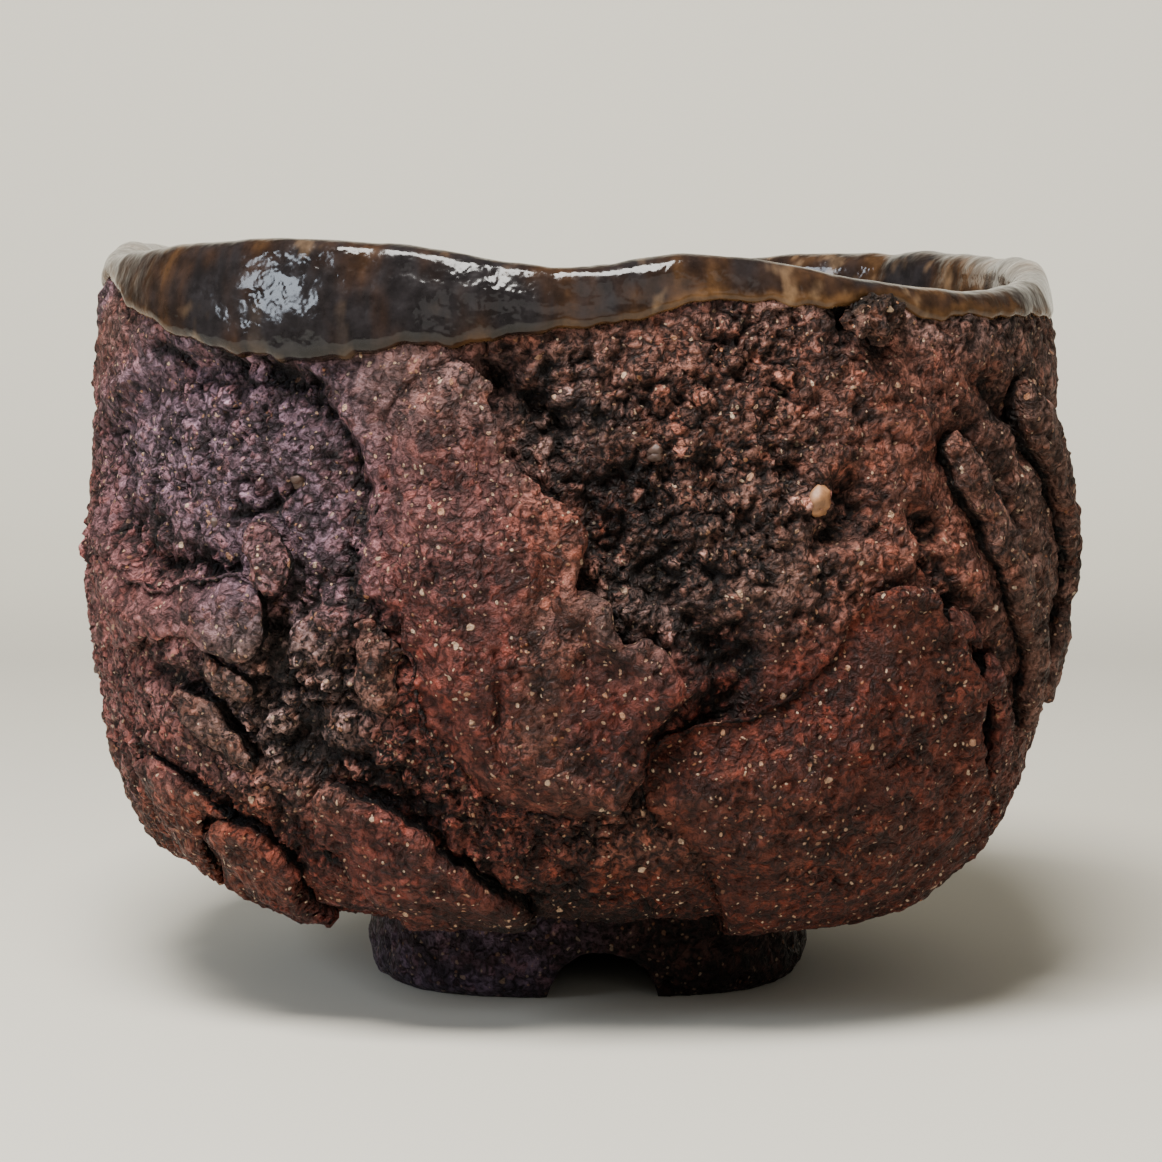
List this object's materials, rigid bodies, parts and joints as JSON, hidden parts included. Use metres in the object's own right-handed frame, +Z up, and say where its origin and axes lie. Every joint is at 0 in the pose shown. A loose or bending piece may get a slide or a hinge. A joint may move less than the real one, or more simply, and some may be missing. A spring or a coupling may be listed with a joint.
{
  "type": "matcha bowl",
  "caption": "Hand-formed rounded-square tea bowl of coarse clay, with torn clay slabs outside, glassy glaze inside and over the wavy lip, and a notched ring foot.",
  "frame": {"origin": "centre of the bounding box at its bottom, where the foot stands", "axes": "+Z up; -Y is the front that faces the viewer, with the notch in the foot; +X is the bowl's right-hand side seen from the front"},
  "size_m": [0.1152, 0.1126, 0.0854],
  "materials": {
    "coarse_clay": "coarse unglazed stoneware, grey-purple to dark brown, full of sand and small pits",
    "foot_clay": "dark unglazed stoneware, matt and slightly shiny where wiped",
    "inner_glaze": "glossy smoky grey-brown glaze",
    "rim_glaze": "thick glossy smoky glaze, amber where thin",
    "stone": "pale pebbles",
    "fold_clay": "near-black brown unglazed stoneware",
    "burnt_slab": "smooth red-brown burnt clay skin",
    "red_slab": "dusty red-purple clay skin"
  },
  "bodies": {
    "root": {"chip_left_lower": "red_slab", "chip_left_middle": "red_slab", "chip_left_tall": "red_slab", "chip_left_upper": "red_slab", "clay_body": "coarse_clay", "fold_right_low": "fold_clay", "fold_right_middle": "fold_clay", "fold_right_tall": "fold_clay", "foot_ring": "foot_clay", "inner_glaze": "inner_glaze", "rim_glaze": "rim_glaze", "rim_lump": "rim_glaze", "slab_back_centre": "red_slab", "slab_back_left": "red_slab", "slab_back_low": "red_slab", "slab_back_right": "red_slab", "slab_band_left": "red_slab", "slab_corner_left": "red_slab", "slab_front_centre": "burnt_slab", "slab_heel_left": "red_slab", "slab_left_high": "red_slab", "slab_left_low": "red_slab", "slab_lower_left": "red_slab", "slab_lower_right": "burnt_slab", "slab_right_back": "red_slab", "stones": "stone"}
  },
  "joints": []
}
